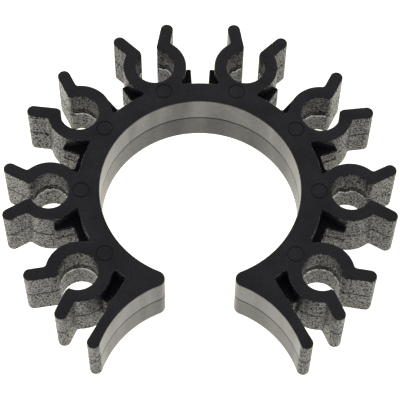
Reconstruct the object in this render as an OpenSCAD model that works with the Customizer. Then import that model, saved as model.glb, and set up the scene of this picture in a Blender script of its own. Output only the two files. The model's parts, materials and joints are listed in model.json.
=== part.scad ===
// Clip-on ring for a round post, with outward-facing spring clips for thin rods.
// The real thing is one plastic moulding. It is divided here at its flexures:
// the ring bends at three places on each side, and each clip has two fingers
// that spring apart beyond the plate that ties the clips to the ring.
// Origin: post axis at the lower face. The jaws open to -Y.

/* [Post ring] */
// Diameter of the post that the ring grips
post_d = 48; // [47.5:0.1:48.5]
// Wall thickness of the ring
ring_wall = 5.4; // [5.2:0.1:5.6]
// Height of the whole moulding
height = 15.5; // [12:0.5:20]

/* [Clips] */
// Diameter of a clip's bore
clip_bore_d = 9.2; // [9:0.1:9.4]
// Wall thickness around a clip's bore
clip_wall = 3.25; // [3.1:0.05:3.3]
// Distance from the post's axis to a clip's axis
clip_pitch_r = 36; // [35.9:0.1:36.2]
// Angle between neighbouring clips
clip_pitch_a = 36.6; // [36:0.1:37]
// Narrowest gap between the two fingers of a clip
throat = 4.1; // [3.8:0.1:4.3]
// Distance from a clip's axis to the outer end of its throat
throat_y = 5.2; // [5:0.1:5.4]
// Width of a clip's neck where it meets the ring
neck_w = 9.2; // [9:0.1:9.6]

/* [Lead-in wings of the clips] */
// Lean of a wing away from the clip's centre line
wing_a = 28.5; // [26:0.5:31]
// Thickness of a wing
wing_t = 3.2; // [3:0.1:3.3]
// Length of a wing's mouth face, without its round tip
wing_len = 5.7; // [5:0.05:6]

/* [Plate round the ring] */
// Thickness of the plate, centred on the moulding's height
plate_h = 7.8; // [6:0.2:9]
// Angle of its wide part to each side of a clip, about the post's axis
plate_a = 14.7; // [14:0.1:15]
// Width of its narrow part, between the clips
rib_w = 2; // [1.8:0.1:2.1]

/* [Jaws] */
// Radius of the nose between the grip and the lead-in face
nose_r = 2.1; // [1.8:0.1:2.3]
// Radius of the lead-in blade's round end
blade_tip_r = 1.55; // [1.4:0.05:1.7]
// Where the lead-in blade ends, as an angle above the lead-in circle's centre
blade_end_a = 18; // [17.4:0.2:19]
// Where the blade leaves the ring, as an angle from the crown
blade_root_a = 144.1; // [143.5:0.1:145]

/* [Flexures] */
// Opening of a finger, in degrees
finger_travel = 22.5; // [18:0.5:22.5]
// Opening of the ring's flexures, from the crown down, in degrees
ring_travel = [12.6, 8.8, 4.2];
// Angle of a finger's flexure, from the middle of the clip's mouth
finger_hinge_a = 96; // [95.5:0.5:97]
// Radius of a finger's knuckle
finger_knuckle_r = 1.1; // [1:0.05:1.2]
// Radius of a ring segment's knuckle
ring_knuckle_r = 1.9; // [1.6:0.1:2]
// Clearance around the knuckles
knuckle_gap = 0.08; // [0.05:0.01:0.1]

/* [Hidden] */
$fn = 96;

left = -1;
right = 1;
crown_side = -1;
jaw_side = 1;

post_r = post_d / 2;
ring_or = post_r + ring_wall;
ring_mid_r = post_r + ring_wall / 2;
bore_r = clip_bore_d / 2;
clip_or = bore_r + clip_wall;
clip_mid_r = bore_r + clip_wall / 2;
rib_or = ring_or + rib_w;
gusset_a = 130;       // where the neck's sides leave a clip's outer circle
far = 70;             // beyond every outline
seam_a = 0.12;        // hairline between ring segments, degrees about the post
finger_seam_a = 0.6;  // the same between seat and finger, about the clip's axis
notch_margin = 2;     // spare degrees in a notch, beyond the travel
heel_gap = 0.15;      // clearance round a finger's heel
into_circle = 2;      // how far an outline reaches into a circle that is then cut out

// Point at radius r and angle a, clockwise from +Y
function polar(r, a) = [r * sin(a), r * cos(a)];
function clip_a(k) = (k - 0.5) * clip_pitch_a;
function flexure_a(k) = k * clip_pitch_a;

// Jaw, all on the right-hand side
lead_c = [0, -post_d]; // centre of the lead-in circle, which is as big as the post
nose_c = [sqrt(pow(post_r + nose_r, 2) - post_r * post_r), -post_r];
tip_c = lead_c + (post_r + blade_tip_r) * [cos(blade_end_a), sin(blade_end_a)];
root_c = polar(ring_or, blade_root_a);
root_to_tip = tip_c - root_c;
back_a = atan2(root_to_tip[0], -root_to_tip[1]) + asin(blade_tip_r / norm(root_to_tip));
tip_back = tip_c + blade_tip_r * [cos(back_a), sin(back_a)];

// A wedge about the origin, clockwise from angle a to angle b
module wedge(a, b, r = far) {
    polygon(concat([[0, 0]], [for (i = [0:8]) polar(r, a + (b - a) * i / 8)]));
}

// Draws the right-hand half as it is, or mirrors it to the left
module on_side(side) {
    mirror([side == left ? 1 : 0, 0, 0]) children();
}

// Moves to clip k on the right: +Y is outward and +X is towards the jaw
module at_clip(k) {
    rotate([0, 0, -clip_a(k)]) translate([0, clip_pitch_r, 0]) children();
}

// Puts a flat outline at the plate's level, with its thickness
module plate_layer() {
    translate([0, 0, (height - plate_h) / 2]) linear_extrude(plate_h) children();
}

// The ring's wall and the rib round it, clockwise from angle a to angle b
module ring_wall_3d(a, b) {
    linear_extrude(height) intersection() {
        ring_2d(ring_or);
        wedge(a, b);
    }
    plate_layer() intersection() {
        ring_2d(rib_or);
        wedge(a, b);
    }
}

// The ring's outline, from the grip out to outer_r
module ring_2d(outer_r) {
    difference() {
        circle(r = outer_r, $fn = 240);
        circle(r = post_r, $fn = 240);
    }
}

// Where the next segment's knuckle sits in the segment nearer the crown
module ring_socket_2d(k) {
    hinge = polar(ring_mid_r, flexure_a(k));
    notch = ring_travel[k - 1] + notch_margin;
    translate(hinge) circle(r = ring_knuckle_r + knuckle_gap, $fn = 64);
    polygon([hinge,
        hinge + polar(ring_wall, flexure_a(k)),
        hinge + polar(ring_wall, flexure_a(k) - notch)]);
}

// The part of the ring that spans both clips beside the crown
module crown_ring() {
    color("#232126") difference() {
        ring_wall_3d(-flexure_a(1) + seam_a, flexure_a(1) - seam_a);
        for (side = [left, right]) linear_extrude(height) on_side(side) ring_socket_2d(1);
    }
}

// A segment that carries clip k, hinged on the one nearer the crown
module ring_segment(side, k) {
    end_a = k == 4 ? blade_root_a : flexure_a(k) - seam_a;
    color("#232126") on_side(side) difference() {
        union() {
            ring_wall_3d(flexure_a(k - 1), end_a);
            translate(polar(ring_mid_r, flexure_a(k - 1)))
                cylinder(h = height, r = ring_knuckle_r, $fn = 64);
        }
        if (k < 4) linear_extrude(height) ring_socket_2d(k);
    }
}

// Nose, lead-in face and blade at the end of segment 4
module jaw(side) {
    to_tip = (tip_c - lead_c) / norm(tip_c - lead_c);
    to_nose = (nose_c - lead_c) / norm(nose_c - lead_c);
    color("#232126") on_side(side) union() {
        linear_extrude(height) difference() {
            polygon([
                polar(post_r - into_circle, blade_root_a),
                root_c,
                tip_back,
                tip_c,
                tip_c - (blade_tip_r + into_circle) * to_tip,
                nose_c - (nose_r + into_circle) * to_nose,
                nose_c,
                nose_c - (nose_r + into_circle) * nose_c / norm(nose_c)]);
            circle(r = post_r, $fn = 240);
            translate(lead_c) circle(r = post_r, $fn = 240);
        }
        translate(nose_c) cylinder(h = height, r = nose_r, $fn = 64);
        translate(tip_c) cylinder(h = height, r = blade_tip_r, $fn = 64);
    }
}

// One wing, on the +X side of a clip
module wing_2d() {
    translate([throat / 2, throat_y]) rotate(-wing_a) {
        translate([0, -wing_t]) square([wing_t, wing_len + wing_t]);
        translate([wing_t / 2, wing_len]) circle(r = wing_t / 2, $fn = 64);
    }
}

// The whole clip outline, with its neck, before it is divided
module clip_2d() {
    mouth = far / 2;
    overlap = 1; // of the neck and the ring, before the ring is cut out
    gusset = polar(clip_or, gusset_a);
    ring_y = -clip_pitch_r + sqrt(ring_or * ring_or - neck_w * neck_w / 4);
    difference() {
        union() {
            circle(r = clip_or);
            for (side = [crown_side, jaw_side])
                mirror([side == crown_side ? 1 : 0, 0, 0]) wing_2d();
            polygon([
                [-neck_w / 2, ring_y - overlap], [neck_w / 2, ring_y - overlap],
                [neck_w / 2, ring_y], gusset, [0, 0],
                [-gusset[0], gusset[1]], [-neck_w / 2, ring_y]]);
        }
        circle(r = bore_r);
        translate([-throat / 2, 0]) square([throat, throat_y + 0.01]);
        polygon([
            [-throat / 2, throat_y], [throat / 2, throat_y],
            [throat / 2, throat_y] + polar(mouth, wing_a),
            [-throat / 2, throat_y] + polar(mouth, -wing_a)]);
    }
}

// Room in a clip's seat for one finger's knuckle and for its heel as it opens
module finger_socket_2d() {
    hinge = polar(clip_mid_r, finger_hinge_a);
    heel_r = clip_wall / 2 + heel_gap;
    translate(hinge) circle(r = finger_knuckle_r + knuckle_gap, $fn = 64);
    intersection() {
        translate(hinge) circle(r = heel_r, $fn = 64);
        polygon([hinge,
            hinge + polar(far, finger_hinge_a - notch_margin),
            hinge + polar(far, finger_hinge_a + finger_travel + notch_margin)]);
    }
}

// Wide part of the plate at a clip, out to the level of the clip's axis
module clip_plate_2d() {
    difference() {
        translate([0, -clip_pitch_r]) intersection() {
            circle(r = clip_pitch_r, $fn = 240);
            wedge(-plate_a, plate_a);
        }
        circle(r = bore_r);
        wedge(-finger_hinge_a - finger_seam_a, finger_hinge_a + finger_seam_a, clip_or);
    }
}

// Neck and floor of clip k and the plate beside it, fixed on the ring
module clip_seat(side, k) {
    color("#26242a") on_side(side) difference() {
        union() {
            linear_extrude(height) at_clip(k) intersection() {
                clip_2d();
                wedge(finger_hinge_a + finger_seam_a, 360 - finger_hinge_a - finger_seam_a);
            }
            plate_layer() at_clip(k) clip_plate_2d();
        }
        linear_extrude(height) at_clip(k)
            for (m = [0, 1]) mirror([m, 0, 0]) finger_socket_2d();
        linear_extrude(height) circle(r = ring_or, $fn = 240);
        plate_layer() circle(r = rib_or, $fn = 240);
    }
}

// One springing finger of clip k, with its wing
module clip_finger(side, k, finger) {
    color("#2b292f") linear_extrude(height) on_side(side) at_clip(k)
        mirror([finger == crown_side ? 1 : 0, 0, 0]) union() {
            intersection() {
                clip_2d();
                wedge(0, finger_hinge_a);
            }
            translate(polar(clip_mid_r, finger_hinge_a)) circle(r = finger_knuckle_r, $fn = 64);
        }
}

crown_ring();
ring_segment(left, 2);  // left_ring_segment_2
ring_segment(left, 3);  // left_ring_segment_3
ring_segment(left, 4);  // left_ring_segment_4
jaw(left);  // left_jaw
ring_segment(right, 2);  // right_ring_segment_2
ring_segment(right, 3);  // right_ring_segment_3
ring_segment(right, 4);  // right_ring_segment_4
jaw(right);  // right_jaw
clip_seat(left, 1);  // left_clip_1_seat
clip_finger(left, 1, crown_side);  // left_clip_1_crown_finger
clip_finger(left, 1, jaw_side);  // left_clip_1_jaw_finger
clip_seat(left, 2);  // left_clip_2_seat
clip_finger(left, 2, crown_side);  // left_clip_2_crown_finger
clip_finger(left, 2, jaw_side);  // left_clip_2_jaw_finger
clip_seat(left, 3);  // left_clip_3_seat
clip_finger(left, 3, crown_side);  // left_clip_3_crown_finger
clip_finger(left, 3, jaw_side);  // left_clip_3_jaw_finger
clip_seat(left, 4);  // left_clip_4_seat
clip_finger(left, 4, crown_side);  // left_clip_4_crown_finger
clip_finger(left, 4, jaw_side);  // left_clip_4_jaw_finger
clip_seat(right, 1);  // right_clip_1_seat
clip_finger(right, 1, crown_side);  // right_clip_1_crown_finger
clip_finger(right, 1, jaw_side);  // right_clip_1_jaw_finger
clip_seat(right, 2);  // right_clip_2_seat
clip_finger(right, 2, crown_side);  // right_clip_2_crown_finger
clip_finger(right, 2, jaw_side);  // right_clip_2_jaw_finger
clip_seat(right, 3);  // right_clip_3_seat
clip_finger(right, 3, crown_side);  // right_clip_3_crown_finger
clip_finger(right, 3, jaw_side);  // right_clip_3_jaw_finger
clip_seat(right, 4);  // right_clip_4_seat
clip_finger(right, 4, crown_side);  // right_clip_4_crown_finger
clip_finger(right, 4, jaw_side);  // right_clip_4_jaw_finger
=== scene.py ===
"""Looks of the clip-on post ring: one black plastic moulding, skinned piece by piece round its flexures."""

import json
import math

import bpy
import numpy as np
from mathutils import Matrix, Vector, noise
from mathutils.geometry import delaunay_2d_cdt


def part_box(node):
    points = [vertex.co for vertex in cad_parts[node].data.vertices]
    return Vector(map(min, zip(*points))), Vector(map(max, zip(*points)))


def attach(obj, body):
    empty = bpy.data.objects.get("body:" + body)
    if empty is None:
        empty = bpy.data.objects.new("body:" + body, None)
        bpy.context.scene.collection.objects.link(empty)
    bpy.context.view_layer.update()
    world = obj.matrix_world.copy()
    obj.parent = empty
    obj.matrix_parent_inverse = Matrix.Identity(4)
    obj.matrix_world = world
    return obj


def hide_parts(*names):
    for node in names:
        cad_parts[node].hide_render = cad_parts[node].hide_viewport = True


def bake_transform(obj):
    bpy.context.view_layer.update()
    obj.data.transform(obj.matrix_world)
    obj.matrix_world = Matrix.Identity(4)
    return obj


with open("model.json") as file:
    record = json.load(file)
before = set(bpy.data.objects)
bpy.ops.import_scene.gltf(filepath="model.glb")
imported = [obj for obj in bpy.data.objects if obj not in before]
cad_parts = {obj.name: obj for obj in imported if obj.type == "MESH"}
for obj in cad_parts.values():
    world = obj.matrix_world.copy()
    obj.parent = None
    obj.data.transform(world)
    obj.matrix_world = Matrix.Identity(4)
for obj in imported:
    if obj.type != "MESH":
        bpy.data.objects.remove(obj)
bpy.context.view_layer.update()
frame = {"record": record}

# ---------------------------------------------------------------- sizes from the frame
MOUNTS = {m["name"]: m for m in frame["record"]["mounts"]}
GRIP_R = MOUNTS["post_grip"]["dims"]["r_mm"] / 1000
BORE_R = MOUNTS["right_clip_1_bore"]["dims"]["r_mm"] / 1000
FIRST_CLIP = MOUNTS["right_clip_1_bore"]["pos_m"]
PITCH_R = math.hypot(FIRST_CLIP[0], FIRST_CLIP[1])
PITCH_A = 2 * math.degrees(math.atan2(FIRST_CLIP[0], FIRST_CLIP[1]))
RIB_W = 0.002  # the narrow part of the plate, outside the ring's wall
RIB_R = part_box("crown_ring")[1].y
RING_R = RIB_R - RIB_W
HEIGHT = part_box("crown_ring")[1].z
MID = HEIGHT / 2
CLIPS = 4

# ---------------------------------------------------------------- sizes in metres, as in the CAD
CLIP_WALL = 0.00325
THROAT_HALF = 0.00205
THROAT_Y = 0.0052
WING_A = 28.5
WING_T = 0.0032
WING_LEN = 0.0057
GUSSET_TOP_A = 130.0  # where the neck's straight side leaves the clip's outer circle
NECK_HALF = 0.0046
PLATE_A = 14.7  # the plate's wide part, to each side of a clip about the post
PLATE_LO, PLATE_HI = MID - 0.0039, MID + 0.0039
NOSE_R = 0.0021
TIP_R = 0.00155
TIP_END_A = 18.0
SLOT_END_A = 144.1

# ---------------------------------------------------------------- moulding details, in metres
STEP = 0.00035  # spacing of the points along an outline
TOP_EDGE = 0.00016  # edge radius at the upper face
BOTTOM_EDGE = 0.00016  # and at the lower face
SET_BACK = 0.00003  # a wall stands this far inside the CAD's outline
LINE_BACK = 0.00001  # and the crest of its parting line only this far
CLIP_SEAM_V = 0.0023  # where ring pieces meet, across a clip's floor
FINGER_SEAM_A = 97.0  # where a finger's piece starts, from the middle of its mouth
PIN_R = 0.0019  # ejector-pin mark
PIN_AT = 0.0284  # its distance from the post's axis
# rings of the groove round it, from outside in: (radius beyond PIN_R, depth)
PIN_GROOVE = ((0.00016, 0), (0.00012, 0.00022), (-0.00008, 0.00022), (-0.00012, 0.00003))
PIN_TURN = 7.5  # degrees between the points of such a ring
LEDGE_Z = MID - 0.0003
TEAR, CLEAN = 0.0006, 0.00008  # how far the ledge in a bore wanders, where it is torn and where it is clean
TEAR_WAVES, TEAR_TEETH = 420, 1900  # its slow and quick turns, per metre
TEAR_SIDEWAYS = 0.45  # share of its rise that also goes into the wall

# roundings of the outline's inner corners
CROTCH = 0.0009  # beside a clip's neck
SLOT_CORNER = 0.0006  # at the end of the slot beside the blade
WING_CROTCH = 0.0006  # between a finger's back and its wing
THROAT_CORNER = 0.0005
BORE_CORNER = 0.00025
PLATE_CORNER = 0.0005

# a turn whose sine is beyond this keeps its sharp corner, and a fold beyond that angle its sharp shading
MITRE_SINE = 0.12
SHARP_A = 38

WALL, SMOOTH, BORE, SEAM = "wall", "smooth", "bore", "seam"


FLIP = np.array([-1, 1])  # to the other side of the middle line


def polar(r, a):
    """Point at radius r and angle a in degrees, clockwise from +Y."""
    a = math.radians(a)
    return np.array([r * math.sin(a), r * math.cos(a)])


def clip_angle(k):
    return (k - 0.5) * PITCH_A


def at_clip(points, angle):
    """Clip coordinates (v towards the jaw, u outward from the clip's axis) to the row frame."""
    a = math.radians(angle)
    p = np.atleast_2d(points)
    x, y = p[:, 0], p[:, 1] + PITCH_R
    return np.column_stack([x * math.cos(a) + y * math.sin(a), -x * math.sin(a) + y * math.cos(a)])


def arc(centre, r, a0, a1):
    n = max(2, int(math.ceil(abs(math.radians(a1 - a0)) * r / STEP)) + 1)
    return np.array([np.asarray(centre) + polar(r, a) for a in np.linspace(a0, a1, n)])


def line(p, q):
    p, q = np.asarray(p, float), np.asarray(q, float)
    n = max(2, int(math.ceil(np.linalg.norm(q - p) / STEP)) + 1)
    return p + np.linspace(0, 1, n)[:, None] * (q - p)


def cut_back(points, head, tail):
    """The run without the first head and the last tail of its length."""
    s = np.concatenate([[0], np.cumsum(np.linalg.norm(np.diff(points, axis=0), axis=1))])
    at = [head] + [x for x in s if head + 1e-6 < x < s[-1] - tail - 1e-6] + [s[-1] - tail]
    return np.column_stack([np.interp(at, s, points[:, i]) for i in (0, 1)])


def outline(runs):
    """A closed outline from runs (kind, points, rounding of the corner at its end).
    Returns the points and the kind of the edge that starts at each."""
    n = len(runs)
    cut = [cut_back(p, runs[i - 1][2], r) if runs[i - 1][2] or r else p for i, (_, p, r) in enumerate(runs)]
    points, kinds = [], []
    for i, (kind, _, rounding) in enumerate(runs):
        here, after = cut[i], cut[(i + 1) % n]
        points += list(here[:-1])
        kinds += [kind] * (len(here) - 1)
        if rounding:
            a, b, c = here[-1], after[0], runs[i][1][-1]
            steps = max(4, int(rounding / STEP * 4))
            for t in np.linspace(0, 1, steps + 1)[:-1]:
                points.append((1 - t) ** 2 * a + 2 * t * (1 - t) * c + t * t * b)
                kinds.append(kind)
    points = np.array(points)
    area = np.sum(points[:, 0] * np.roll(points[:, 1], -1) - points[:, 1] * np.roll(points[:, 0], -1))
    if area < 0:
        points, kinds = reverse(points, kinds)
    return points, kinds


def reverse(points, kinds):
    n = len(points)
    return points[::-1].copy(), [kinds[(n - 2 - i) % n] for i in range(n)]


def mirrored(shape):
    points, kinds = shape
    return reverse(points * FLIP, kinds)


# ---------------------------------------------------------------- outlines, right-hand side
OUTER_R = BORE_R + CLIP_WALL
RING_U = -PITCH_R + math.sqrt(RING_R**2 - NECK_HALF**2)
GUSSET_TOP = polar(OUTER_R, GUSSET_TOP_A)
GUSSET_FOOT = np.array([NECK_HALF, RING_U])
BORE_SEAM = polar(BORE_R, FINGER_SEAM_A)
OUTER_SEAM = polar(OUTER_R, FINGER_SEAM_A)


def seam_foot(angle, v):
    """Where a straight seam at v across a clip's floor meets the ring's inner wall."""
    return at_clip([v, -PITCH_R + math.sqrt(GRIP_R**2 - v**2)], angle)[0]


def bore_angle(v):
    """Angle in a clip's floor where the bore is at v."""
    return 180 - math.degrees(math.asin(v / BORE_R))


def polar_angle(p):
    return math.degrees(math.atan2(p[0], p[1]))


def clip_start(angle, v):
    """The runs from the inner wall, over a clip's floor and down its neck on the side away from the crown."""
    return [
        (SEAM, line(seam_foot(angle, v), at_clip(polar(BORE_R, bore_angle(v)), angle)[0]), 0),
        (BORE, at_clip(arc([0, 0], BORE_R, bore_angle(v), FINGER_SEAM_A), angle), 0),
        (SEAM, at_clip(line(BORE_SEAM, OUTER_SEAM), angle), 0),
        (WALL, at_clip(arc([0, 0], OUTER_R, FINGER_SEAM_A, GUSSET_TOP_A), angle), 0),
        (WALL, at_clip(line(GUSSET_TOP, GUSSET_FOOT), angle), CROTCH),
    ]


def clip_end(angle, v):
    """The runs up the neck of a clip on its crown side, over its floor and back to the inner wall."""
    return [
        (WALL, at_clip(line(GUSSET_FOOT, GUSSET_TOP) * FLIP, angle), 0),
        (WALL, at_clip(arc([0, 0], OUTER_R, -GUSSET_TOP_A, -FINGER_SEAM_A), angle), 0),
        (SEAM, at_clip(line(OUTER_SEAM, BORE_SEAM) * FLIP, angle), 0),
        (BORE, at_clip(arc([0, 0], BORE_R, -FINGER_SEAM_A, bore_angle(v) - 360), angle), 0),
        (SEAM, line(at_clip(polar(BORE_R, bore_angle(v)), angle)[0], seam_foot(angle, v)), 0),
    ]


def ring_shape(angle_a, va, angle_b, vb):
    """Ring piece from clip to clip, with half of each clip's neck."""
    a0 = polar_angle(at_clip(GUSSET_FOOT, angle_a)[0])
    a1 = polar_angle(at_clip(GUSSET_FOOT * FLIP, angle_b)[0])
    inner = arc([0, 0], GRIP_R, polar_angle(seam_foot(angle_b, vb)), polar_angle(seam_foot(angle_a, va)))
    return outline(
        clip_start(angle_a, va)
        + [(WALL, arc([0, 0], RING_R, a0, a1), CROTCH)]
        + clip_end(angle_b, vb)
        + [(SMOOTH, inner, 0)]
    )


LEAD_C = np.array([0, -2 * GRIP_R])
NOSE_C = np.array([math.sqrt((GRIP_R + NOSE_R) ** 2 - GRIP_R**2), -GRIP_R])
TIP_C = LEAD_C + (GRIP_R + TIP_R) * np.array(
    [math.cos(math.radians(TIP_END_A)), math.sin(math.radians(TIP_END_A))]
)


def jaw_shape():
    """From clip 4 to the end of the blade: slot, blade, lead-in face, nose and grip."""
    angle = clip_angle(CLIPS)
    root = polar(RING_R, SLOT_END_A)
    to_tip = TIP_C - root
    back = math.atan2(to_tip[0], -to_tip[1]) + math.asin(TIP_R / np.linalg.norm(to_tip))
    tip_back = TIP_C + TIP_R * np.array([math.cos(back), math.sin(back)])
    tip_in = polar_angle(LEAD_C - TIP_C)  # from the tip's centre to the lead-in circle's
    nose_a = polar_angle(LEAD_C - NOSE_C)
    lead = arc(LEAD_C, GRIP_R, polar_angle(TIP_C - LEAD_C), polar_angle(NOSE_C - LEAD_C))
    a0 = polar_angle(at_clip(GUSSET_FOOT, angle)[0])
    return outline(
        clip_start(angle, CLIP_SEAM_V)
        + [
            (WALL, arc([0, 0], RING_R, a0, SLOT_END_A), SLOT_CORNER),
            (WALL, line(root, tip_back), 0),
            (WALL, arc(TIP_C, TIP_R, polar_angle(tip_back - TIP_C), tip_in % 360), 0),
            (SMOOTH, lead, 0),
            (SMOOTH, arc(NOSE_C, NOSE_R, nose_a % 360, polar_angle(-NOSE_C) % 360), 0),
            (SMOOTH, arc([0, 0], GRIP_R, polar_angle(NOSE_C), polar_angle(seam_foot(angle, CLIP_SEAM_V))), 0),
        ]
    )


def finger_shape(angle, side):
    """Springing finger with its wing, in the row frame. side 1 is the jaw's, -1 the crown's."""
    lean = math.radians(WING_A)
    along, across = np.array([math.sin(lean), math.cos(lean)]), np.array([math.cos(lean), -math.sin(lean)])
    throat = np.array([THROAT_HALF, THROAT_Y])
    tip = throat + WING_LEN * along + WING_T / 2 * across
    back_foot = throat + WING_T * across
    # the wing's back meets the outer circle
    b = back_foot @ along
    back_foot = back_foot + (-b + math.sqrt(b * b - (back_foot @ back_foot - OUTER_R**2))) * along
    crotch_a = polar_angle(back_foot)
    bore_top = np.array([THROAT_HALF, math.sqrt(BORE_R**2 - THROAT_HALF**2)])
    runs = [
        (SEAM, line(BORE_SEAM, OUTER_SEAM), 0),
        (WALL, arc([0, 0], OUTER_R, FINGER_SEAM_A, crotch_a), WING_CROTCH),
        (WALL, line(back_foot, tip + WING_T / 2 * across), 0),
        (WALL, arc(tip, WING_T / 2, 90 + WING_A, WING_A - 90), 0),
        (WALL, line(tip - WING_T / 2 * across, throat), THROAT_CORNER),
        (WALL, line(throat, bore_top), BORE_CORNER),
        (BORE, arc([0, 0], BORE_R, polar_angle(bore_top), FINGER_SEAM_A), 0),
    ]
    return outline([(kind, at_clip(p * [side, 1], angle), r) for kind, p, r in runs])


# the plate's hidden edges run inside the ring's wall, the necks and the clips' walls
PLATE_IN_R = RING_R - 0.0004
PLATE_NECK_A = math.degrees(math.asin((NECK_HALF - 0.0012) / PLATE_IN_R))
PLATE_WALL_A = math.degrees(2 * math.asin((BORE_R + CLIP_WALL / 2) / 2 / PITCH_R))
PLATE_END_A = SLOT_END_A + 2


def plate_shape(angle_a, angle_b=None):
    """The plate from clip to clip, or from the last clip into the blade. It is wide beside each clip."""
    neck_a, wall_a, step_a = angle_a + PLATE_NECK_A, angle_a + PLATE_WALL_A, angle_a + PLATE_A
    near = [
        (SEAM, line(polar(PLATE_IN_R, neck_a), polar(PITCH_R, wall_a)), 0),
        (WALL, arc([0, 0], PITCH_R, wall_a, step_a), PLATE_CORNER),
        (WALL, line(polar(PITCH_R, step_a), polar(RIB_R, step_a)), PLATE_CORNER),
    ]
    if angle_b is None:
        return outline(
            near
            + [
                (WALL, arc([0, 0], RIB_R, step_a, PLATE_END_A), 0),
                (SEAM, line(polar(RIB_R, PLATE_END_A), polar(PLATE_IN_R, PLATE_END_A)), 0),
                (SEAM, arc([0, 0], PLATE_IN_R, PLATE_END_A, neck_a), 0),
            ]
        )
    neck_b, wall_b, step_b = angle_b - PLATE_NECK_A, angle_b - PLATE_WALL_A, angle_b - PLATE_A
    return outline(
        near
        + [
            (WALL, arc([0, 0], RIB_R, step_a, step_b), PLATE_CORNER),
            (WALL, line(polar(RIB_R, step_b), polar(PITCH_R, step_b)), PLATE_CORNER),
            (WALL, arc([0, 0], PITCH_R, step_b, wall_b), 0),
            (SEAM, line(polar(PITCH_R, wall_b), polar(PLATE_IN_R, neck_b)), 0),
            (SEAM, arc([0, 0], PLATE_IN_R, neck_b, neck_a), 0),
        ]
    )


# ---------------------------------------------------------------- meshes
def edge_arc(radius, steps=4):
    """(height above the face, inset) up a rounded edge, from the face to the wall."""
    t = np.linspace(0, math.pi / 2, steps + 1)
    return [(radius * (1 - math.cos(x)), radius * (1 - math.sin(x))) for x in t]


NEAR = 0.0003  # rows this close to an edge keep its shading off the flat of the wall


BORE_FOOT_BACK, BORE_TOP_BACK = 0.00004, 0.00010  # inset of a bore at its lower and upper end


def full_profile():
    """Rows going up: z, inset of a wall, inset of a bore, how far the row follows the ledge's tear,
    and whether a bore's strip from there to the next row takes the painted shade."""
    rows = [(h, SET_BACK + d, BORE_FOOT_BACK + d, 0, False) for h, d in edge_arc(BOTTOM_EDGE)]
    rows += [
        (BOTTOM_EDGE + NEAR, SET_BACK, 0.00003, 0, False),
        (MID - 0.0016, SET_BACK, -0.00002, 0.1, False),
        (MID - 0.0010, SET_BACK, -0.00008, 0.6, False),
        (LEDGE_Z - 0.00008, SET_BACK, -0.00016, 1, False),
        (LEDGE_Z, SET_BACK, -0.00008, 1, False),
        (LEDGE_Z + 0.00003, SET_BACK, 0.00016, 1, True),
        (MID - 0.00006, SET_BACK, 0.00020, 1, True),
        (MID - 0.00002, LINE_BACK, 0.00020, 1, True),
        (MID + 0.00004, LINE_BACK, 0.00020, 1, True),
        (MID + 0.00009, SET_BACK, 0.00018, 1, True),
        (MID + 0.0005, SET_BACK, 0.00012, 1, False),
        (MID + 0.0010, SET_BACK, 0.00008, 1.5, True),
        (MID + 0.0016, SET_BACK, 0.00014, 1.3, False),
        (MID + 0.0032, SET_BACK, 0.00008, 0, False),
        (HEIGHT - TOP_EDGE - NEAR, SET_BACK, BORE_TOP_BACK, 0, False),
    ]
    rows += [(HEIGHT - h, SET_BACK + d, BORE_TOP_BACK + d, 0, False) for h, d in reversed(edge_arc(TOP_EDGE))]
    return rows


def plate_profile():
    """The same rows for the plate, which has no bores."""
    edge, back, near_line = 0.00025, 0.00008, 0.00005
    low = [(PLATE_LO + h, back + d) for h, d in edge_arc(edge, 3)] + [(PLATE_LO + edge + NEAR, back)]
    middle = [
        (MID - 0.0004, near_line),
        (MID - 0.00006, near_line),
        (MID - 0.00002, 0),
        (MID + 0.00004, 0),
        (MID + 0.00009, near_line),
        (MID + 0.0005, near_line),
    ]
    high = [(PLATE_HI - z + PLATE_LO, d) for z, d in reversed(low)]
    return [(z, d, 0, 0, False) for z, d in low + middle + high]


MATERIAL_OF = {SEAM: 0, WALL: 1, SMOOTH: 2, BORE: 3}
SHADE_SLOT = 4  # the painted shade: a darker material for a bore's strips above its ledge and for the plates' faces, which lie in shade


def tear_at(p):
    """Rise of a bore's ledge at p, the same from both sides of a seam. The last clips' ledges are clean."""
    big = noise.noise(Vector((p[0] * TEAR_WAVES, p[1] * TEAR_WAVES, 3.7)))
    small = noise.noise(Vector((p[0] * TEAR_TEETH, p[1] * TEAR_TEETH, 9.1)))
    torn = abs(polar_angle(p)) < clip_angle(CLIPS - 0.5)
    return (TEAR if torn else CLEAN) * (1.1 * big + 0.5 * small)


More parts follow.
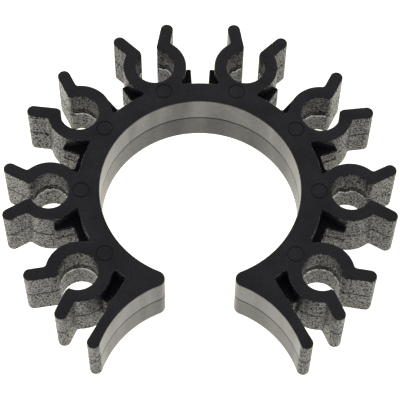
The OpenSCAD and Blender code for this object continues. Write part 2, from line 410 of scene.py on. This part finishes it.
def loft(name, shape, profile, pins=(), face=0):
    """A closed solid: the outline lofted through the profile's rows, with flat faces at both ends.
    pins are centres of shallow ejector-pin marks in the upper face; face is the flat faces' material."""
    points, kinds = shape
    n = len(points)
    tangent = np.roll(points, -1, axis=0) - points
    tangent /= np.linalg.norm(tangent, axis=1)[:, None]
    n2 = np.column_stack([tangent[:, 1], -tangent[:, 0]])  # outward normal of the edge after each point
    n1 = np.roll(n2, 1, axis=0)  # and of the edge before it
    before = [kinds[i - 1] for i in range(n)]
    tears = np.array([tear_at(p) if BORE in (kinds[i], before[i]) else 0 for i, p in enumerate(points)])
    cross = n1[:, 0] * n2[:, 1] - n1[:, 1] * n2[:, 0]
    vertices = []
    for z, wall, bore, torn, _ in profile:
        inset = {WALL: wall, SMOOTH: wall, BORE: bore, SEAM: 0}
        d1 = np.array([inset[k] for k in before], float)
        d2 = np.array([inset[k] for k in kinds], float)
        for d, ks in ((d1, before), (d2, kinds)):
            d += np.array([k == BORE for k in ks]) * tears * torn * TEAR_SIDEWAYS
        mean = n1 + n2
        mean /= np.linalg.norm(mean, axis=1)[:, None]
        offset = -((d1 + d2) / 2)[:, None] * mean
        for i in np.nonzero(np.abs(cross) > MITRE_SINE)[0]:
            offset[i] = np.linalg.solve(np.array([n1[i], n2[i]]), [-d1[i], -d2[i]])
        at = points + offset
        vertices += [(x, y, z + t * torn) for (x, y), t in zip(at, tears)]
    faces, slots = [], []
    rows = len(profile)
    for r in range(rows - 1):
        for i in range(n):
            j = (i + 1) % n
            faces.append((r * n + i, r * n + j, (r + 1) * n + j, (r + 1) * n + i))
            # a bore's strip flagged in the profile takes the painted shade
            slots.append(SHADE_SLOT if profile[r][4] and kinds[i] == BORE else MATERIAL_OF[kinds[i]])
    walls = len(faces)
    faces += cap(vertices, [range(n)], -1)
    top_at = (rows - 1) * n
    loops = [range(top_at, top_at + n)]
    for centre in pins:
        rings = []
        for beyond, depth in PIN_GROOVE:
            start = len(vertices)
            ring = [centre + polar(PIN_R + beyond, a) for a in np.arange(0, 360, PIN_TURN)]
            vertices += [(x, y, HEIGHT - depth) for x, y in ring]
            rings.append(list(range(start, start + len(ring))))
        loops.append(rings[0])
        for a, b in zip(rings, rings[1:]):
            for i in range(len(a)):
                j = (i + 1) % len(a)
                faces.append(facing(vertices, (a[i], a[j], b[j], b[i]), 1))
        faces.append(facing(vertices, tuple(rings[-1]), 1))
    faces += cap(vertices, loops, 1)
    slots += [face] * (len(faces) - walls)
    mesh = bpy.data.meshes.new(name)
    mesh.from_pydata([tuple(v) for v in vertices], [], faces)
    mesh.polygons.foreach_set("material_index", slots)
    smooth = [i < walls and kinds[i % n] != SEAM for i in range(len(faces))]
    mesh.polygons.foreach_set("use_smooth", smooth)
    mesh.set_sharp_from_angle(angle=math.radians(SHARP_A))
    for m in PLASTICS:
        mesh.materials.append(m)
    mesh.update()
    piece = bpy.data.objects.new(name, mesh)
    bpy.context.scene.collection.objects.link(piece)
    return piece


def cap(vertices, loops, up):
    """Triangles that fill the first loop of vertex numbers, but not the round loops after it."""
    index = [i for loop in loops for i in loop]
    edges = []
    for loop in loops:
        at, n = len(edges), len(loop)
        edges += [(at + i, at + (i + 1) % n) for i in range(n)]
    flat = [Vector(vertices[i][:2]) for i in index]
    triangles, origin = delaunay_2d_cdt(flat, edges, [], 1, 1e-8)[2:4]
    holes = [set(loop) for loop in loops[1:]]
    faces = []
    for t in triangles:
        face = [index[origin[i][0]] for i in t]
        if not any(hole.issuperset(face) for hole in holes):
            faces.append(facing(vertices, face, up))
    return faces


def facing(vertices, face, up):
    """The face with its corners ordered so that it looks up (1) or down (-1)."""
    x = [vertices[i][0] for i in face]
    y = [vertices[i][1] for i in face]
    area = sum(x[i - 1] * y[i] - x[i] * y[i - 1] for i in range(len(face)))
    return tuple(face) if area * up > 0 else tuple(reversed(face))


# ---------------------------------------------------------------- materials
BLACK = (0.0165, 0.0152, 0.0190, 1)
# the colour of the painted highlight on a bore's torn ledge, mixed in and glowing
HIGHLIGHT_COLOUR = (0.80, 0.79, 0.74, 1)


class Nodes:
    """Short calls for building a node tree."""

    def __init__(self, tree):
        self.tree = tree
        tree.nodes.clear()

    def new(self, kind, **sockets):
        node = self.tree.nodes.new(kind)
        for name, value in sockets.items():
            self.put(node, name.replace("_", " "), value)
        return node

    def put(self, node, socket, value):
        if isinstance(value, bpy.types.NodeSocket):
            self.tree.links.new(value, node.inputs[socket])
        else:
            node.inputs[socket].default_value = value

    def maths(self, operation, a, b=0.0, clamp=False):
        node = self.tree.nodes.new("ShaderNodeMath")
        node.operation, node.use_clamp = operation, clamp
        self.put(node, 0, a)
        self.put(node, 1, b)
        return node.outputs[0]

    def noise(self, place, size, detail=2.0, roughness=0.5):
        """Noise whose features are about size across."""
        sockets = {"Vector": place, "Scale": 1 / size, "Detail": detail, "Roughness": roughness}
        return self.new("ShaderNodeTexNoise", **sockets).outputs["Fac"]

    def axis(self, vector, i):
        return self.new("ShaderNodeSeparateXYZ", Vector=vector).outputs[i]

    def between(self, value, from_lo, from_hi, to_lo, to_hi):
        node = self.new("ShaderNodeMapRange", Value=value)
        for i, v in enumerate((from_lo, from_hi, to_lo, to_hi), start=1):
            node.inputs[i].default_value = v
        return node.outputs[0]

    def mixed(self, share, a, b):
        node = self.tree.nodes.new("ShaderNodeMix")
        node.data_type = "RGBA"
        self.put(node, 0, share)
        self.put(node, 6, a)
        self.put(node, 7, b)
        return node.outputs[2]


def band(k, z, centre, half):
    """1 at height centre, falling to 0 at half above and below."""
    away = k.maths("ABSOLUTE", k.maths("SUBTRACT", z, centre))
    return k.between(away, half, half * 0.4, 0.0, 1.0)


PATCH = 0.006  # size of the slow changes of gloss and colour
LINE_HALF = 0.00045  # half the width of the painted shade along the parting line
LEDGE_GLOW = 0.40  # painted highlight: a torn ledge's glow, standing in for the floor's light that doesn't reach into a bore


def plastic(
    name, roughness, grain, depth, speckle, gloss_mean, line_dark=0.0, lower=1.0, drawn=0.0, torn=False
):
    """Black plastic. grain and depth are the texture's size and height in metres; speckle is how far
    its peaks shine more or less than gloss_mean; line_dark paints shade along the parting line and lower
    paints shade on the half below it; drawn adds upright streaks; torn draws a bore's torn ledge with a
    painted highlight on it and painted shade above it."""
    m = bpy.data.materials.new(name)
    m.use_nodes = True
    k = Nodes(m.node_tree)
    place = k.new("ShaderNodeTexCoord").outputs["Object"]
    z = k.axis(place, 2)
    coarse = k.noise(place, grain, 2.0, 0.65)
    patches = k.noise(place, PATCH, 3.0, 0.55)
    gloss = k.between(coarse, 0.42, 0.58, gloss_mean - speckle, gloss_mean + speckle)
    gloss = k.maths("MULTIPLY", gloss, k.between(patches, 0.3, 0.7, 0.85, 1.15))
    colour = k.mixed(k.between(patches, 0.35, 0.7, 0.0, 1.0), BLACK, tuple(c * 1.2 for c in BLACK[:3]) + (1,))
    shine = 0.0
    if drawn:
        upright = k.new("ShaderNodeMapping", Vector=place, Scale=(1.0, 1.0, 0.12)).outputs[0]
        streaks = k.between(k.noise(upright, 0.005, 2.0), 0.35, 0.65, 1 - drawn, 1 + drawn)
        gloss = k.maths("MULTIPLY", gloss, streaks)
    if line_dark:
        # painted shade along the parting line, standing in for the shade on its ridge's upper flank; a faint
        # ridge is modelled too
        wander = k.between(k.noise(place, 0.004), 0.3, 0.7, -0.00006, 0.00006)
        line = band(k, k.maths("ADD", z, wander), MID, LINE_HALF)
        # painted shade: the half below the parting line is darker, for its reflection of the floor in the
        # part's own shadow
        gloss = k.maths("MULTIPLY", gloss, k.between(z, MID - 0.0006, MID + 0.0002, lower, 1.0))
        gloss = k.maths("MULTIPLY", gloss, k.maths("SUBTRACT", 1.0, k.maths("MULTIPLY", line, line_dark)))
    if torn:
        # painted highlight: upward-facing faces in the middle of a bore take the pale colour and glow, broken
        # up by noise
        up = k.axis(k.new("ShaderNodeNewGeometry").outputs["True Normal"], 2)
        middle = band(k, z, MID - 0.0002, 0.0016)
        ledge = k.maths("MULTIPLY", k.between(up, 0.25, 0.45, 0.0, 1.0), middle)
        highlight_breakup = k.between(k.noise(place, 0.0007, 2.0, 0.6), 0.40, 0.55, 0.25, 1.0)
        ledge_highlight = k.maths("MULTIPLY", ledge, highlight_breakup)
        colour = k.mixed(ledge_highlight, colour, HIGHLIGHT_COLOUR)
        shine = k.maths("MULTIPLY", ledge_highlight, LEDGE_GLOW)
        # painted shade above the ledge: dark streaks and a dark line just over it, where its undercut shades
        # the wall
        level = k.new("ShaderNodeMapping", Vector=place, Scale=(1.0, 1.0, 2.6)).outputs[0]
        shade_streaks = k.between(k.noise(level, 0.0016, 3.0, 0.6), 0.44, 0.54, 0.0, 1.0)
        above = k.maths("MULTIPLY", band(k, z, MID + 0.0006, 0.0013), shade_streaks)
        above = k.maths("MAXIMUM", above, band(k, z, MID + 0.0001, 0.00030))
        gloss = k.maths("MULTIPLY", gloss, k.maths("SUBTRACT", 1.0, k.maths("MULTIPLY", above, 0.95)))
    bump = k.new("ShaderNodeBump", Strength=1.0, Distance=depth, Height=coarse)
    shader = k.new(
        "ShaderNodeBsdfPrincipled",
        Base_Color=colour,
        Roughness=k.between(patches, 0.3, 0.7, roughness - 0.04, roughness + 0.04),
        Specular_IOR_Level=gloss,
        Emission_Color=HIGHLIGHT_COLOUR,
        Emission_Strength=shine,
        Normal=bump.outputs[0],
    )
    out = k.new("ShaderNodeOutputMaterial")
    m.node_tree.links.new(shader.outputs[0], out.inputs[0])
    return m


# line_dark and lower paint shade on the walls; torn paints the ledge's highlight and the shade above it
PLASTICS = [
    plastic("satin_face", 0.38, 0.00035, 0.000010, 0.08, 0.50),
    plastic("grained_wall", 0.34, 0.00042, 0.000120, 0.70, 0.58, line_dark=0.93),
    plastic("smooth_wall", 0.30, 0.00080, 0.000012, 0.12, 1.05, line_dark=0.95, lower=0.48, drawn=0.32),
    plastic("bore_wall", 0.38, 0.00042, 0.000120, 0.62, 0.50, torn=True),
    # painted shade: a darker face for a bore's strips above its ledge and for the plates' recessed faces
    plastic("painted_shade_face", 0.45, 0.00050, 0.000050, 0.03, 0.04),
]

# ---------------------------------------------------------------- pieces
FULL = full_profile()
PLATE = plate_profile()


def pin_at(angle):
    return polar(PIN_AT, angle)


def sided(shape, sign):
    return shape if sign > 0 else mirrored(shape)


crown = loft(
    "moulded_crown",
    ring_shape(-clip_angle(1), -CLIP_SEAM_V, clip_angle(1), CLIP_SEAM_V),
    FULL,
    pins=[pin_at(-clip_angle(1)), pin_at(clip_angle(1))],
)
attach(crown, "crown")
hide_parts("crown_ring", "left_clip_1_seat", "right_clip_1_seat")
crown_plate = loft("moulded_crown_plate", plate_shape(-clip_angle(1), clip_angle(1)), PLATE, face=SHADE_SLOT)
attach(crown_plate, "crown")

for side, sign in (("left", -1), ("right", 1)):
    for k in range(1, CLIPS):
        a, b = clip_angle(k), clip_angle(k + 1)
        shape = sided(ring_shape(a, CLIP_SEAM_V, b, CLIP_SEAM_V), sign)
        centre = pin_at(b) * [sign, 1]
        piece = loft(f"moulded_{side}_ring_{k}_{k + 1}", shape, FULL, pins=[centre])
        plate = loft(f"moulded_{side}_plate_{k}_{k + 1}", sided(plate_shape(a, b), sign), PLATE, face=SHADE_SLOT)
        for bending in (piece, plate):
            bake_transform(bending)
        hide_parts(f"{side}_ring_segment_{k + 1}", f"{side}_clip_{k + 1}_seat")
    jaw = loft(f"moulded_{side}_jaw", sided(jaw_shape(), sign), FULL)
    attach(jaw, f"{side}_segment_{CLIPS}")
    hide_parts(f"{side}_jaw")
    shape = sided(plate_shape(clip_angle(CLIPS)), sign)
    jaw_plate = loft(f"moulded_{side}_jaw_plate", shape, PLATE, face=SHADE_SLOT)
    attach(jaw_plate, f"{side}_segment_{CLIPS}")
    for k in range(1, CLIPS + 1):
        for which, lean in (("crown", -1), ("jaw", 1)):
            body = f"{side}_clip_{k}_{which}_finger"
            shape = sided(finger_shape(clip_angle(k), lean), sign)
            piece = loft(f"moulded_{body}", shape, FULL)
            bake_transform(piece)
            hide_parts(body)

# ---------------------------------------------------------------- floor, light and camera
FLOOR_HALF = 1.6
FLOOR_Z = -0.0002  # just clear of the part's lower face
FLOOR_COLOUR = (1.0, 0.975, 0.86, 1)
NEAR_R, FAR_R = 0.045, 0.12  # painted shadow: the floor's light grows between these distances from the post's axis, dim near the part for its own shadow
NEAR_GLOW, FAR_GLOW = 1.45, 3.4
LEFT_GAIN = 1.3  # and is stronger by this on the left
LENS, SENSOR = 155.8, 36  # millimetres

floor_mesh = bpy.data.meshes.new("floor")
corners = [(x * FLOOR_HALF, y * FLOOR_HALF, FLOOR_Z) for x, y in ((-1, -1), (1, -1), (1, 1), (-1, 1))]
floor_mesh.from_pydata(corners, [], [(0, 1, 2, 3)])
floor = bpy.data.objects.new("floor", floor_mesh)
bpy.context.scene.collection.objects.link(floor)
paper = bpy.data.materials.new("lit_paper")
paper.use_nodes = True
nodes = Nodes(paper.node_tree)
place = nodes.new("ShaderNodeTexCoord").outputs["Object"]
out_from_post = nodes.new("ShaderNodeVectorMath", Vector=place)
out_from_post.operation = "LENGTH"
# painted shadow: the floor glows less near the part
glow = nodes.between(out_from_post.outputs["Value"], NEAR_R, FAR_R, NEAR_GLOW, FAR_GLOW)
glow = nodes.maths("MULTIPLY", glow, nodes.between(nodes.axis(place, 0), -0.02, -0.05, 1.0, LEFT_GAIN))
glow = nodes.maths("MULTIPLY", glow, nodes.between(nodes.noise(place, 0.3), 0.3, 0.7, 0.98, 1.02))
lit = nodes.new("ShaderNodeEmission", Color=FLOOR_COLOUR, Strength=glow)
out = nodes.new("ShaderNodeOutputMaterial")
paper.node_tree.links.new(lit.outputs[0], out.inputs[0])
floor_mesh.materials.append(paper)

world = bpy.data.worlds.new("studio")
bpy.context.scene.world = world
world.use_nodes = True
nodes = Nodes(world.node_tree)
up = nodes.axis(nodes.new("ShaderNodeTexCoord").outputs["Generated"], 2)
strength = nodes.between(up, 0.05, 0.6, 1.1, 0.32)
sky = nodes.new("ShaderNodeBackground", Color=(0.97, 0.98, 1.0, 1), Strength=strength)
out = nodes.new("ShaderNodeOutputWorld")
world.node_tree.links.new(sky.outputs[0], out.inputs[0])

bpy.context.scene.view_settings.view_transform = "Standard"

camera_data = bpy.data.cameras.new("camera")
camera_data.lens, camera_data.sensor_width = LENS, SENSOR
camera_data.clip_start, camera_data.clip_end = 0.01, 20
camera = bpy.data.objects.new("camera", camera_data)
bpy.context.scene.collection.objects.link(camera)
look = Vector((0.0074, 0.4711, -0.8820)).normalized()
right = Vector((0.9999, 0.0006, 0.0088))
right = (right - look * right.dot(look)).normalized()
upward = right.cross(look)
camera.matrix_world = Matrix.Translation((-0.0031, -0.1970, 0.3781)) @ Matrix(
    ((right.x, upward.x, -look.x), (right.y, upward.y, -look.y), (right.z, upward.z, -look.z))
).to_4x4()
bpy.context.scene.camera = camera
